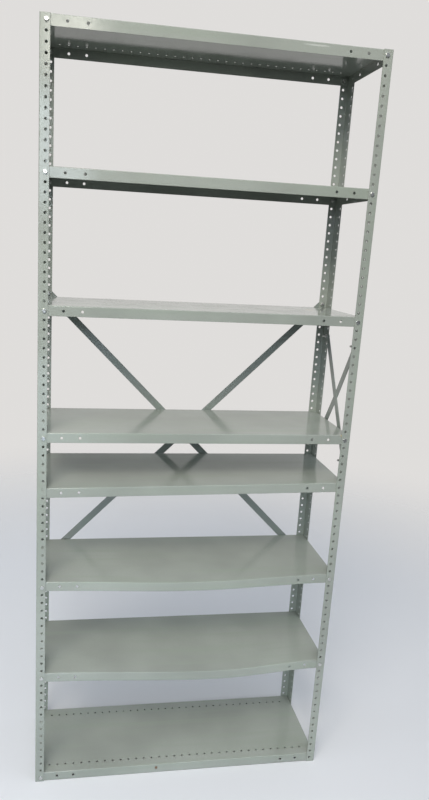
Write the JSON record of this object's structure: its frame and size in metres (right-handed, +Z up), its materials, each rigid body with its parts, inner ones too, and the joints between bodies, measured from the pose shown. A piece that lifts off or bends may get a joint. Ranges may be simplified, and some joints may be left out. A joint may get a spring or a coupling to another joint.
{
  "type": "steel storage shelving unit",
  "caption": "Tall open steel shelving unit: perforated angle posts, bolted pan shelves at uneven heights, flat-strap X braces across the back and one end.",
  "frame": {"origin": "on the floor under the middle of the four posts", "axes": "+Z up, the front faces -Y, +X to the right seen from the front"},
  "size_m": [0.9291, 0.3042, 2.2144],
  "materials": {
    "post_enamel": "semi-gloss grey-green enamel",
    "shelf_enamel": "semi-gloss grey-green enamel",
    "brace_enamel": "semi-gloss grey-green enamel",
    "zinc": "zinc plated"
  },
  "bodies": {
    "root": {"post_front_left": "post_enamel", "post_front_right": "post_enamel", "post_rear_left": "post_enamel", "post_rear_right": "post_enamel", "shelf_1": "shelf_enamel", "shelf_1_bolts": "zinc", "shelf_1_nuts": "zinc", "shelf_2": "shelf_enamel", "shelf_2_bolts": "zinc", "shelf_2_nuts": "zinc", "shelf_3": "shelf_enamel", "shelf_3_bolts": "zinc", "shelf_3_nuts": "zinc", "shelf_4": "shelf_enamel", "shelf_4_bolts": "zinc", "shelf_4_nuts": "zinc", "shelf_5": "shelf_enamel", "shelf_5_bolts": "zinc", "shelf_5_nuts": "zinc", "shelf_6": "shelf_enamel", "shelf_6_bolts": "zinc", "shelf_6_nuts": "zinc", "shelf_7": "shelf_enamel", "shelf_7_bolts": "zinc", "shelf_7_nuts": "zinc", "shelf_8": "shelf_enamel", "shelf_8_bolts": "zinc", "shelf_8_nuts": "zinc", "back_brace_inner": "brace_enamel", "back_brace_outer": "brace_enamel", "back_brace_bolts": "zinc", "back_brace_nuts": "zinc", "end_brace_inner": "brace_enamel", "end_brace_outer": "brace_enamel", "end_brace_bolts": "zinc", "end_brace_nuts": "zinc"}
  },
  "joints": []
}
